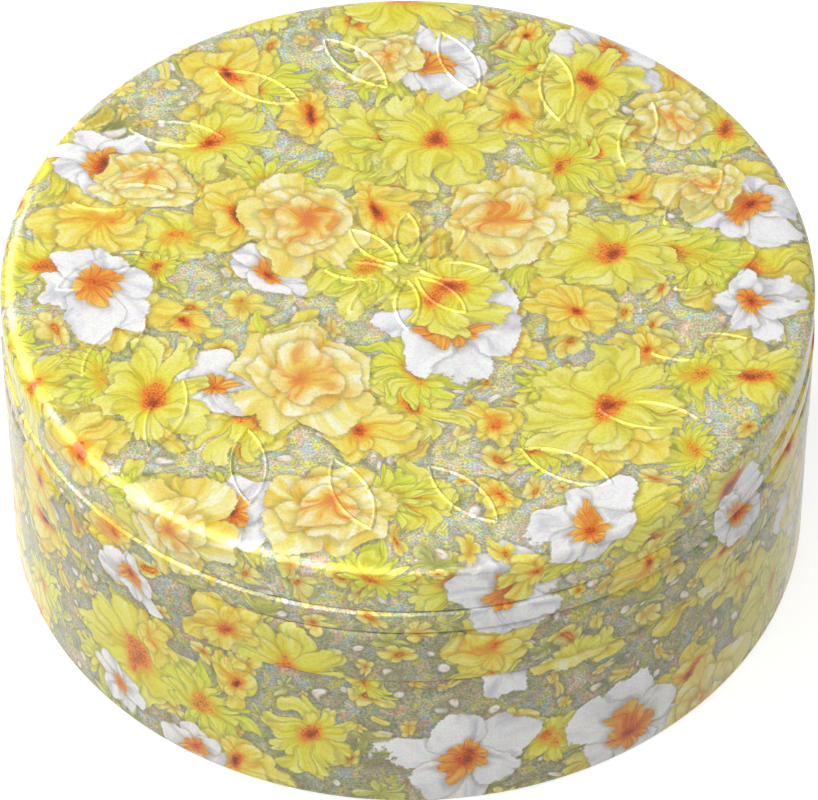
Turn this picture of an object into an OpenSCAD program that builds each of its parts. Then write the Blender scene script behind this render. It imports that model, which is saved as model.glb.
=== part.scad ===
// Round, shallow tea caddy of drawn sheet aluminium: a printed base and slip-on lid,
// and under the lid a press-in inner lid with a riveted knob. The origin is at the
// centre of the foot, on the surface that the caddy stands on, with +Z up. Millimetres.

/* [Overall] */
// Outer diameter of the lid's skirt, which is the widest part
lid_d = 72; // [60:1:100]
// Height of the closed caddy, to the lid's flat panel
closed_h = 30; // [25:0.5:42]
// Thickness of the sheet that every shell is drawn from
sheet = 0.3; // [0.25:0.01:0.36]

/* [Lid] */
// Height of the lid, from its cut edge to its flat panel
lid_h = 13.5; // [11.2:0.1:18]
// How far the wall above the bead stands inside the skirt
lid_wall_inset = 0.15; // [0.1:0.01:0.3]
// Width of the rounded shoulder, seen from above
shoulder_w = 1.1; // [0.8:0.1:2]
// Height of the rounded shoulder
shoulder_h = 1.1; // [0.8:0.1:2]
// Height of the groove above the lid's cut edge
groove_h = 5.6; // [4.6:0.1:6.7]
// Depth of the groove under the bead
groove_depth = 0.75; // [0.6:0.05:0.9]
// Height of the round ledge between the skirt and the groove
ledge_h = 1.3; // [0.8:0.1:1.6]
// Height of the bead, from the groove to the crease
bead_h = 2.9; // [2.4:0.1:3.5]
// Depth of the crease above the bead
crease_depth = 0.4; // [0.3:0.05:0.5]

/* [Base] */
// How far the base's printed wall stands inside the lid's skirt
base_wall_inset = 0.08; // [0.05:0.01:0.2]
// Outer radius of the bottom edge
bottom_edge_r = 0.8; // [0.6:0.1:2]
// Height that the floor panel is raised above the foot
floor_raise = 0.6; // [0.4:0.1:1]
// Width of the flat foot that the caddy stands on
foot_w = 2.8; // [2:0.1:4]
// Height of the neck, from the step under the lid to the top of the rim
neck_h = 8; // [6.6:0.05:9.6]
// Outer radius of the rim's inward curl
curl_r = 0.8; // [0.65:0.05:1]

/* [Inner lid] */
// Depth of the pan, from the flange's top to the panel's top
pan_depth = 2.6; // [2.1:0.1:3.4]
// Radius of the pan's bends
pan_bend_r = 0.9; // [0.7:0.05:1]
// Diameter of the knob's head
knob_d = 13; // [10:0.5:18]
// Diameter of the knob's foot
knob_foot_d = 8; // [6.5:0.5:10]
// Diameter of the knob's waist
knob_waist_d = 6; // [5:0.5:8]
// Diameter of the rivet's shank
shank_d = 3; // [2:0.5:4]
// Length of the rivet's shank inside the knob
shank_grip = 3; // [2:0.5:3.5]
// Diameter of the rivet's head under the panel
rivet_head_d = 6; // [5:0.5:8]
// Height of the rivet's head
rivet_head_h = 0.7; // [0.5:0.1:1.2]

/* [Embossing] */
// Number of leaves in the ring on the lid
leaf_count = 18; // [12:1:20]
// Length of one leaf
leaf_len = 8.6; // [6:0.1:10]
// Slant of the leaves from the radial line, in degrees
leaf_slant = 32; // [10:1:45]
// Distance from the leaves' tips to the rounded shoulder
leaf_margin = 4; // [2:0.1:7]
// Number of petals in the rosette at the lid's centre
petal_count = 8; // [6:1:9]
// Length of one petal
petal_len = 6; // [4.5:0.1:7.5]
// Distance from the lid's centre to the petals' inner tips
petal_start = 1.2; // [1:0.1:3]
// Width of the embossed lines
line_w = 0.5; // [0.4:0.05:0.6]
// Height of the embossed lines above the panel
line_h = 0.18; // [0.1:0.01:0.2]

/* [Clearances] */
// Radial gap between the lid's groove and the base's neck
lid_fit = 0.1; // [0.06:0.01:0.15]
// Gap between the lid's cut edge and the base's step
lid_seat_gap = 0.15; // [0.1:0.01:0.3]
// Radial gap between the inner lid's pan and the rim's curl
pan_fit = 0.1; // [0.05:0.01:0.2]
// Gap between the inner lid's flange and the rim
flange_gap = 0.05; // [0.03:0.01:0.1]
// How far the flange's edge stays inside the neck's outer face
flange_inset = 0.25; // [0.15:0.01:0.4]
// Gap between the knob's top and the lid
knob_clear = 1.4; // [1:0.1:2.9]
// Radial gap round the rivet's shank
shank_fit = 0.02; // [0.01:0.01:0.04]

/* [Hidden] */
$fn = 128;
print_colour = "khaki";
metal_colour = "silver";

// Lid
skirt_r = lid_d / 2;
lid_wall_r = skirt_r - lid_wall_inset;
panel_r = lid_wall_r - shoulder_w;
lid_edge_z = closed_h - lid_h;
groove_r = skirt_r - groove_depth;
groove_z = lid_edge_z + groove_h;
groove_fillet = 0.12;
crease_r = skirt_r - crease_depth;
crease_z = groove_z + bead_h;
bead_z = groove_z + 0.3 * bead_h; // the bead is widest here
wall_foot_h = 0.4;                // height of the round turn from the wall into the crease
wall_foot_w = lid_wall_r - crease_r;

// Base
base_r = skirt_r - base_wall_inset;
foot_out_r = base_r - bottom_edge_r;
foot_in_r = foot_out_r - foot_w;
floor_slope_w = 1.5;
neck_r = groove_r - sheet - lid_fit;
step_z = lid_edge_z - lid_seat_gap;
step_edge_r = 0.4;
step_fillet = 0.3;
rim_z = step_z + neck_h;
curl_centre_r = neck_r - curl_r;
curl_end = 285; // degrees, counted from the neck's outer face
mouth_r = neck_r - 2 * curl_r;

// Inner lid
pan_r = mouth_r - pan_fit;
flange_r = neck_r - flange_inset;
flange_top_z = rim_z + flange_gap + sheet;
panel_z = flange_top_z - pan_depth;
panel_under_z = panel_z - sheet;
shank_r = shank_d / 2;
hole_r = shank_r + shank_fit;
shank_top_z = panel_z + shank_grip;
knob_top_z = closed_h - sheet - knob_clear;
knob_h = knob_top_z - panel_z;
knob_foot_h = 0.6;
knob_edge_r = 0.8;
knob_edge_z = panel_z + 0.62 * knob_h; // height of the head's round edge

// Embossing
leaf_bow = 0.8;    // radius of a leaf's sides, as a share of its length
leaf_ring_r = panel_r - leaf_margin - leaf_len / 2 * cos(leaf_slant);
emboss_root = 0.1; // how far the raised lines reach into the panel

// Points along an arc of radius r about (x, z), from angle a0 to a1
function arc(x, z, r, a0, a1, n) = ellipse(x, z, r, r, a0, a1, n);

// Points along an ellipse of half-axes w and h about (x, z), from angle a0 to a1
function ellipse(x, z, w, h, a0, a1, n) =
    [for (i = [0:n]) let (a = a0 + (a1 - a0) * i / n) [x + w * cos(a), z + h * sin(a)]];

// Points on an S-shaped slope from p to q, which starts and ends level
function slope(p, q, n) =
    [for (i = [0:n]) let (t = i / n) [p[0] + (q[0] - p[0]) * t, p[1] + (q[1] - p[1]) * t * t * (3 - 2 * t)]];

// The unit normal on the right of a path at point i
function right_of(path, i) =
    let (a = path[max(i - 1, 0)], b = path[min(i + 1, len(path) - 1)], d = b - a)
    [d[1], -d[0]] / norm(d);

// The path moved to its right by t, or to its left where t is negative
function beside(path, t) = [for (i = [0:len(path) - 1]) path[i] + t * right_of(path, i)];

function reversed(path) = [for (i = [len(path) - 1:-1:0]) path[i]];

// A drawn shell: the path is one face, and the sheet lies t to its right
module drawn_shell(path, t) {
    rotate_extrude() polygon(concat(path, reversed(beside(path, t))));
}

// The lid's outer face, from its centre to its cut edge
lid_path = concat(
    [[0, closed_h]],
    ellipse(panel_r, closed_h - shoulder_h, shoulder_w, shoulder_h, 90, 0, 14),
    ellipse(crease_r, crease_z + wall_foot_h, wall_foot_w, wall_foot_h, 0, -80, 4),
    ellipse(crease_r, bead_z, crease_depth, crease_z - bead_z, 80, 0, 8),
    ellipse(groove_r, bead_z, groove_depth, bead_z - groove_z - groove_fillet, -12, -90, 6),
    ellipse(groove_r, groove_z - ledge_h, groove_depth, ledge_h, 90, 0, 8),
    [[skirt_r, lid_edge_z]]
);

// The base's outer face, from the floor's centre to the end of the rim's curl
base_path = concat(
    [[0, floor_raise]],
    slope([foot_in_r - floor_slope_w, floor_raise], [foot_in_r, 0], 8),
    arc(foot_out_r, bottom_edge_r, bottom_edge_r, 270, 360, 8),
    arc(base_r - step_edge_r, step_z - step_edge_r, step_edge_r, 0, 90, 6),
    arc(neck_r + step_fillet, step_z + step_fillet, step_fillet, 270, 180, 4),
    arc(curl_centre_r, rim_z - curl_r, curl_r, 0, curl_end, 16)
);

// The inner lid's upper face, from the edge of the knob's hole to the flange's edge
inner_lid_path = concat(
    [[hole_r, panel_z]],
    arc(pan_r - sheet - pan_bend_r, panel_z + pan_bend_r, pan_bend_r, 270, 360, 6),
    arc(pan_r - sheet + pan_bend_r, flange_top_z - pan_bend_r, pan_bend_r, 180, 90, 6),
    [[flange_r, flange_top_z]]
);

module base_shell() {
    color(print_colour) drawn_shell(base_path, -sheet);
}

// The embossed lines stand up on the panel, and are hollow grooves underneath
module lid_shell() {
    color(print_colour) difference() {
        union() {
            drawn_shell(lid_path, sheet);
            translate([0, 0, closed_h - emboss_root]) linear_extrude(emboss_root + line_h) ornament(line_w);
        }
        translate([0, 0, closed_h - 2 * sheet]) linear_extrude(sheet + line_h) ornament(line_w / 2);
    }
}

// A ring of slanted leaves round a rosette, drawn in lines of width w
module ornament(w) {
    for (i = [0:leaf_count - 1])
        rotate(i * 360 / leaf_count) translate([leaf_ring_r, 0]) rotate(leaf_slant) leaf_outline(leaf_len, w);
    for (i = [0:petal_count - 1])
        rotate(i * 360 / petal_count) translate([petal_start + petal_len / 2, 0]) leaf_outline(petal_len, w);
}

// The outline of a leaf that is long along X, as a line of width w
module leaf_outline(length, w) {
    difference() {
        leaf_area(length + w, leaf_bow * length + w / 2);
        leaf_area(length - w, leaf_bow * length - w / 2);
    }
}

module leaf_area(length, r) {
    rise = sqrt(r * r - length * length / 4);
    intersection() {
        translate([0, rise]) circle(r);
        translate([0, -rise]) circle(r);
    }
}

module inner_lid() {
    color(metal_colour) drawn_shell(inner_lid_path, sheet);
}

// A turned knob, with a waist for the fingertips and a blind hole for the rivet
module inner_lid_knob() {
    foot_r = knob_foot_d / 2;
    waist_r = knob_waist_d / 2;
    foot_top_z = panel_z + knob_foot_h;
    under_head_z = knob_edge_z - knob_edge_r;
    edge_x = knob_d / 2 - knob_edge_r;
    crown_a = 90 - 2 * atan((knob_top_z - knob_edge_z - knob_edge_r) / edge_x); // where the crown meets the edge
    crown_r = knob_edge_r + edge_x / cos(crown_a);
    color(metal_colour) difference() {
        rotate_extrude() polygon(concat(
            [[0, panel_z], [foot_r, panel_z]],
            ellipse(foot_r, under_head_z, foot_r - waist_r, under_head_z - foot_top_z, 270, 180, 8),
            arc(edge_x, knob_edge_z, knob_edge_r, 270, 360 + crown_a, 8),
            arc(0, knob_top_z - crown_r, crown_r, crown_a, 90, 8)
        ));
        translate([0, 0, panel_z - 1]) cylinder(h = shank_grip + 1 + shank_fit, r = hole_r);
    }
}

// The rivet's domed head holds the knob from under the panel
module knob_rivet() {
    head_r = rivet_head_d / 2;
    color(metal_colour) rotate_extrude() polygon(concat(
        ellipse(0, panel_under_z, head_r, rivet_head_h, 270, 360, 8),
        [[shank_r, panel_under_z], [shank_r, shank_top_z], [0, shank_top_z]]
    ));
}

base_shell();
lid_shell();
inner_lid();
inner_lid_knob();
knob_rivet();
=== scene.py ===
# %% [markdown]
# # A printed tea caddy
# The caddy is four pieces of drawn sheet aluminium and a turned knob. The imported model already
# holds their true sizes, so this lesson only has to give them fine meshes and real finishes.
# Everything is in metres, in the model's own frame: +Z is up and the origin is under the foot.

# %% Load the frame
import math

import bpy
from mathutils import Matrix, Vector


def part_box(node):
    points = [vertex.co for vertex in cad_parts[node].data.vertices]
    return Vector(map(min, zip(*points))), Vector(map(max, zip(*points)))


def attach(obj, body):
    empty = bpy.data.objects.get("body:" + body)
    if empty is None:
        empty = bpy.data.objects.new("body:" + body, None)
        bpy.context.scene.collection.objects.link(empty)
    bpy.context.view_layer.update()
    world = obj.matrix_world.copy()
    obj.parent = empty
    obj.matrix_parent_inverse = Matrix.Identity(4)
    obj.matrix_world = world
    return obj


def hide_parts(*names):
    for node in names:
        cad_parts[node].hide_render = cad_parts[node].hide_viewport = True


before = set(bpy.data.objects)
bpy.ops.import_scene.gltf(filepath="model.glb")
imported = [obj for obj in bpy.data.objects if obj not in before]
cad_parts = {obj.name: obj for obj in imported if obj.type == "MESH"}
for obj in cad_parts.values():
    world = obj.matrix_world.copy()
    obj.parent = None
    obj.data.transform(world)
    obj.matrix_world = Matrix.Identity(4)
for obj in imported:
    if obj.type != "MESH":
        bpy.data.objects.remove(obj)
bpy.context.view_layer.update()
scene = bpy.context.scene
MM = 0.001

# %% [markdown]
# ## Camera
# A low box is best shown through a long lens from about 45 degrees above, which keeps its rings
# close to true ellipses. The distance, the lens and the height belong together.

# %% Camera
LID_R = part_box("lid_shell")[1].x  # outer radius of the lid's skirt
CAMERA_ELEVATION = math.radians(46.4)
CAMERA_DISTANCE = 15 * LID_R
CAMERA_TARGET_HEIGHT = 0.3755 * LID_R
FRAME_W = 818  # pixels
FOCAL_PIXELS = 6007
AIM_TURN = -0.00031  # radians, centres the caddy

camera_data = bpy.data.cameras.new("camera")
camera_data.sensor_width = 36
camera_data.lens = FOCAL_PIXELS * camera_data.sensor_width / FRAME_W
camera = bpy.data.objects.new("camera", camera_data)
scene.collection.objects.link(camera)
camera.location = (
    0,
    -CAMERA_DISTANCE * math.cos(CAMERA_ELEVATION),
    CAMERA_TARGET_HEIGHT + CAMERA_DISTANCE * math.sin(CAMERA_ELEVATION),
)
camera.rotation_mode = "XYZ"
camera.rotation_euler = (math.pi / 2 - CAMERA_ELEVATION, 0, AIM_TURN)
scene.camera = camera
print("lens", round(camera_data.lens, 1), "mm at", round(CAMERA_DISTANCE, 3), "m")

# %% [markdown]
# ## Two helpers
# Materials, the world and Geometry Nodes are all node trees, so one function adds any node and
# links it. Colours are easiest to compare as hex values.


# %% A helper for every node tree
def add(tree, kind, *inputs, named=None, out=0, **settings):
    """Adds a node, sets its properties, fills its inputs with values or links, and returns one output."""
    node = tree.nodes.new(kind)
    for name, value in settings.items():
        setattr(node, name, value)
    sockets = [socket for socket in node.inputs if socket.enabled]
    by_name = {socket.name: socket for socket in sockets}
    pairs = list(zip(sockets, inputs)) + [(by_name[name], value) for name, value in (named or {}).items()]
    for socket, value in pairs:
        if isinstance(value, bpy.types.NodeSocket):
            tree.links.new(value, socket)
        elif value is not None:
            socket.default_value = value
    outputs = [socket for socket in node.outputs if socket.enabled]
    if isinstance(out, str):
        return next(socket for socket in outputs if socket.name == out)
    return outputs[out] if outputs else None


# %% Colours are written as sRGB hex values
def rgb(code):
    """Turns an sRGB hex colour into the linear one that shaders use."""
    parts = [int(code[i : i + 2], 16) / 255 for i in (1, 3, 5)]
    return (*[p / 12.92 if p <= 0.04045 else ((p + 0.055) / 1.055) ** 2.4 for p in parts], 1)


# %% [markdown]
# ## Drawn shells
# A drawn shell is a sheet of even thickness bent round an axis. Its outer face is a short path of
# lines and quarter ellipses, and its inner face is the same path one sheet thickness inside. The
# path could be spun with a modifier. Here Geometry Nodes sweep it along a circle, because the tree
# can then also give the printed face and the bare face their own materials.

# %% Paths, in millimetres from the axis and above the foot
def ellipse(x, z, w, h, start, end, count):
    """Points along an ellipse of half-axes w and h about (x, z), from one angle to another in degrees."""
    angles = [math.radians(start + (end - start) * i / count) for i in range(count + 1)]
    return [(x + w * math.cos(a), z + h * math.sin(a)) for a in angles]


def slope(p, q, count):
    """Points on an S-shaped slope from p to q, which starts and ends level."""
    shares = [i / count for i in range(count + 1)]
    return [(p[0] + (q[0] - p[0]) * t, p[1] + (q[1] - p[1]) * t * t * (3 - 2 * t)) for t in shares]


def beside(path, distance):
    """The path moved sideways, to its right where the distance is positive, without folds in tight corners."""
    moved = []
    for i, (x, z) in enumerate(path):
        (ax, az), (bx, bz) = path[max(i - 1, 0)], path[min(i + 1, len(path) - 1)]
        length = math.hypot(bx - ax, bz - az)
        moved.append((x + distance * (bz - az) / length, z - distance * (bx - ax) / length))
    return [p for p in moved if min(math.dist(p, q) for q in path) > 0.93 * abs(distance)]


# %% The lathe: a Geometry Nodes tree that sweeps a path round the axis
LATHE_STEPS = 256
WELD = 0.000002  # metres; closes the seam and the points on the axis
PRINTED = "printed"  # 1 on the parts of a path that carry the print


def lathe_tree():
    tree = bpy.data.node_groups.new("lathe", "GeometryNodeTree")
    tree.interface.new_socket("Geometry", in_out="INPUT", socket_type="NodeSocketGeometry")
    for name, kind in (("Steps", "Int"), ("Radius", "Float"), ("Plain", "Material"), ("Print", "Material")):
        tree.interface.new_socket(name, in_out="INPUT", socket_type="NodeSocket" + kind)
    tree.interface.new_socket("Geometry", in_out="OUTPUT", socket_type="NodeSocketGeometry")
    given = tree.nodes.new("NodeGroupInput").outputs
    profile = add(tree, "GeometryNodeMeshToCurve", given["Geometry"])
    circle = add(tree, "GeometryNodeCurvePrimitiveCircle", given["Steps"], given["Radius"])
    swept = add(tree, "GeometryNodeCurveToMesh", circle, profile)
    welded = add(tree, "GeometryNodeMergeByDistance", swept, True, WELD)
    real = add(tree, "GeometryNodeRealizeInstances", welded)
    plain = add(tree, "GeometryNodeSetMaterial", real, True, given["Plain"])
    mark = add(tree, "GeometryNodeInputNamedAttribute", PRINTED, data_type="FLOAT")
    is_printed = add(tree, "FunctionNodeCompare", mark, 0.99, data_type="FLOAT", operation="GREATER_THAN")
    painted = add(tree, "GeometryNodeSetMaterial", plain, is_printed, given["Print"])
    add(tree, "NodeGroupOutput", painted)
    return tree


lathe = lathe_tree()
print("lathe inputs:", [item.name for item in lathe.interface.items_tree])


# %% From a tree to a plain mesh
def set_inputs(modifier, **values):
    """Sets a Geometry Nodes modifier's inputs by their names, through their identifiers."""
    for item in modifier.node_group.interface.items_tree:
        if item.in_out == "INPUT" and item.name in values:
            modifier[item.identifier] = values[item.name]


def finished(host, name):
    """Turns an object with modifiers into a plain mesh object of its own."""
    graph = bpy.context.evaluated_depsgraph_get()
    mesh = bpy.data.meshes.new_from_object(host.evaluated_get(graph))
    bpy.data.objects.remove(host)
    piece = bpy.data.objects.new(name, mesh)
    scene.collection.objects.link(piece)
    print(name, "has", len(mesh.polygons), "faces")
    return piece


# %% Turned pieces
def turned(name, path, plain_material, print_material=None, printed=(), closed=False, steps=LATHE_STEPS, crease=40):
    """A piece turned round the axis from a path, whose points with the numbers in printed carry the print."""
    marks = [1.0 if i in printed else 0.0 for i in range(len(path))]
    turn = sum(ax * bz - bx * az for (ax, az), (bx, bz) in zip(path, path[1:] + path[:1]))
    if turn > 0:  # the sweep's faces point outwards when the path runs clockwise
        path, marks = path[::-1], marks[::-1]
    mesh = bpy.data.meshes.new(name + "_path")
    points = [((x - OUTER_R) * MM, -z * MM, 0) for x, z in path]
    last = len(points) - 1
    mesh.from_pydata(points, [(i, i + 1) for i in range(last)] + ([(last, 0)] if closed else []), [])
    mesh.attributes.new(PRINTED, "FLOAT", "POINT").data.foreach_set("value", marks)
    host = bpy.data.objects.new(name + "_path", mesh)
    scene.collection.objects.link(host)
    modifier = host.modifiers.new("lathe", "NODES")
    modifier.node_group = lathe
    set_inputs(modifier, Steps=steps, Radius=OUTER_R * MM, Plain=plain_material,
               Print=print_material or plain_material)
    piece = finished(host, name)
    piece.data.shade_smooth()
    piece.data.set_sharp_from_angle(angle=math.radians(crease))
    return piece


# %% Sizes, in millimetres
SHEET = 0.3
OUTER_R = LID_R / MM
CLOSED_H = 30.0
LID_EDGE_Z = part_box("lid_shell")[0].z / MM
WALL_INSET = 0.15  # the lid's upper wall stands back from its skirt
LID_WALL_R = OUTER_R - WALL_INSET
SHOULDER_W, SHOULDER_H = 1.9, 1.1
PANEL_R = LID_WALL_R - SHOULDER_H
GROOVE_Z = LID_EDGE_Z + 5.6
GROOVE_DEPTH, GROOVE_FILLET = 0.75, 0.12
LEDGE_H, LEDGE_SLOPE_H, LEDGE_ROUND = 1.0, 0.3, 0.24
CREASE_Z = GROOVE_Z + 2.9
CREASE_DEPTH, CREASE_ROUND = 0.5, 0.06
ROOF_H, ROOF_ROUND = 0.4, 0.2  # the bead's sloping upper edge, and the round below it
BEAD_Z = GROOVE_Z + 0.87
WALL_FOOT_H = 0.4

lid_path = (
    # Panel and shoulder
    [(0, CLOSED_H)]
    + ellipse(LID_WALL_R - SHOULDER_W, CLOSED_H - SHOULDER_H, SHOULDER_W, SHOULDER_H, 90, 0, 24)
    # Upper wall, which turns in to the crease
    + ellipse(OUTER_R - CREASE_DEPTH, CREASE_Z + WALL_FOOT_H, CREASE_DEPTH - WALL_INSET, WALL_FOOT_H, 0, -75, 6)
    + [(OUTER_R - CREASE_DEPTH + CREASE_ROUND, CREASE_Z)]
    # Bead
    + ellipse(OUTER_R - ROOF_ROUND, CREASE_Z - ROOF_H, ROOF_ROUND, ROOF_ROUND, 65, 0, 10)
    + [(OUTER_R, BEAD_Z)]
    # Groove
    + ellipse(OUTER_R - GROOVE_DEPTH, BEAD_Z, GROOVE_DEPTH, BEAD_Z - GROOVE_Z - GROOVE_FILLET, -12, -90, 8)
    + [(OUTER_R - GROOVE_DEPTH, GROOVE_Z)]
    # Ledge and skirt
    + ellipse(OUTER_R - LEDGE_ROUND, GROOVE_Z - LEDGE_H, LEDGE_ROUND, LEDGE_H - LEDGE_SLOPE_H, 60, 0, 8)
    + [(OUTER_R, LID_EDGE_Z)]
)
BASE_R = OUTER_R - 0.08  # the skirt stands out a little past the base's wall
EDGE_R = 0.8
FLOOR_RAISE = 0.6
FOOT_OUT_R = BASE_R - EDGE_R
FOOT_IN_R = FOOT_OUT_R - 2.8
NECK_R = OUTER_R - GROOVE_DEPTH - SHEET - 0.1
STEP_Z = LID_EDGE_Z - 0.15
STEP_EDGE_R, STEP_FILLET = 0.4, 0.3
RIM_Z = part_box("base_shell")[1].z / MM
CURL_R = 0.8
base_wall = ellipse(FOOT_OUT_R, EDGE_R, EDGE_R, EDGE_R, 270, 360, 16) + ellipse(
    BASE_R - STEP_EDGE_R, STEP_Z - STEP_EDGE_R, STEP_EDGE_R, STEP_EDGE_R, 0, 90, 8
)
base_floor = [(0, FLOOR_RAISE)] + slope((FOOT_IN_R - 1.5, FLOOR_RAISE), (FOOT_IN_R, 0), 12)
base_path = (
    base_floor
    + base_wall
    # Step, neck and curled rim
    + ellipse(NECK_R + STEP_FILLET, STEP_Z + STEP_FILLET, STEP_FILLET, STEP_FILLET, 270, 180, 6)
    + ellipse(NECK_R - CURL_R, RIM_Z - CURL_R, CURL_R, CURL_R, 0, 285, 28)
)
print("lid path:", len(lid_path), "points, base path:", len(base_path), "points")

# %% [markdown]
# ## The print
# The sheet is printed flat, in a lithographic press, on a white base coat, and a clear varnish
# goes over the ink before the sheet is drawn. The picture is a dense meadow of painted blossoms.
# It could be an image, but a procedural print stays sharp at any distance. Each kind of blossom is
# a layer: a Voronoi pattern scatters the blossoms, and polar formulas round each centre draw the
# petals. Later layers cover earlier ones, as in a collage.

# %% Where blossoms go: a node group
MATH, VECTOR, MIX = "ShaderNodeMath", "ShaderNodeVectorMath", "ShaderNodeMix"
TO_MM = (1000, 1000, 1000)  # patterns are given in millimetres, Object coordinates come in metres


def new_group(name, inputs, outputs):
    """An empty shader node group with its sockets. Returns the tree, its input sockets and its output node."""
    tree = bpy.data.node_groups.new(name, "ShaderNodeTree")
    for label, kind in inputs:
        tree.interface.new_socket(label, in_out="INPUT", socket_type="NodeSocket" + kind)
    for label, kind in outputs:
        tree.interface.new_socket(label, in_out="OUTPUT", socket_type="NodeSocket" + kind)
    given = {s.name: s for s in tree.nodes.new("NodeGroupInput").outputs}
    return tree, given, tree.nodes.new("NodeGroupOutput")


def scatter_group():
    """Scatters round spots over a plane in millimetres. Spot is the place within a spot of radius 1."""
    t, given, end = new_group(
        "scatter",
        [("Point", "Vector"), ("Cell", "Float"), ("Offset", "Vector"), ("Loose", "Float"), ("Largest", "Float"),
         ("Share", "Float"), ("Squash", "Float"), ("Reach Axes", "Vector"), ("From", "Float"), ("To", "Float"),
         ("Seam", "Float")],
        [("Spot", "Vector"), ("Size", "Float"), ("Random", "Vector"), ("Present", "Float")],
    )
    scale = add(t, MATH, 1.0, given["Cell"], operation="DIVIDE")
    shifted = add(t, VECTOR, given["Point"], scale, given["Offset"], operation="MULTIPLY_ADD")
    cell = add(t, "ShaderNodeTexVoronoi", shifted, 1.0, 0, 0.5, 2, given["Loose"], voronoi_dimensions="2D",
               feature="F1", out="Position")
    random = cell.node.outputs["Color"]
    room = add(t, "ShaderNodeTexVoronoi", shifted, 1.0, given["Loose"], voronoi_dimensions="2D",
               feature="N_SPHERE_RADIUS", out="Radius")
    room_mm = add(t, MATH, room, given["Cell"], operation="MULTIPLY")
    size = add(t, MATH, room_mm, given["Largest"], operation="MINIMUM")
    from_centre = add(t, VECTOR, add(t, VECTOR, shifted, cell, operation="SUBTRACT"),
                      add(t, MATH, given["Cell"], size, operation="DIVIDE"), operation="SCALE")
    r1 = add(t, "ShaderNodeSeparateXYZ", random)
    r2, r3 = r1.node.outputs[1], r1.node.outputs[2]
    turn = add(t, MATH, r1, 2 * math.pi, operation="MULTIPLY")
    turned_spot = add(t, "ShaderNodeVectorRotate", from_centre, (0, 0, 0), turn, rotation_type="Z_AXIS")
    stretch = add(t, MATH, r2, given["Squash"], 1.0, operation="MULTIPLY_ADD")
    spot = add(t, VECTOR, turned_spot, add(t, "ShaderNodeCombineXYZ", 1.0, stretch, 1.0), operation="MULTIPLY")
    centre = add(t, VECTOR, add(t, VECTOR, cell, given["Offset"], operation="SUBTRACT"), given["Cell"],
                 operation="SCALE")
    reach_vector = add(t, VECTOR, centre, given["Reach Axes"], operation="MULTIPLY")
    reach = add(t, VECTOR, reach_vector, operation="LENGTH", out="Value")
    past = add(t, MATH, reach, given["From"], operation="GREATER_THAN")
    before = add(t, MATH, reach, given["To"], operation="LESS_THAN")
    x = add(t, MATH, add(t, "ShaderNodeSeparateXYZ", centre), operation="ABSOLUTE")
    off_seam = add(t, MATH, add(t, MATH, x, size, operation="ADD"), given["Seam"], operation="LESS_THAN")
    chosen = add(t, MATH, r3, given["Share"], operation="LESS_THAN")
    inside = add(t, MATH, add(t, MATH, past, before, operation="MULTIPLY"), off_seam, operation="MULTIPLY")
    present = add(t, MATH, inside, chosen, operation="MULTIPLY")
    for label, socket in (("Spot", spot), ("Size", size), ("Random", random), ("Present", present)):
        t.links.new(socket, end.inputs[label])
    return t


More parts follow.
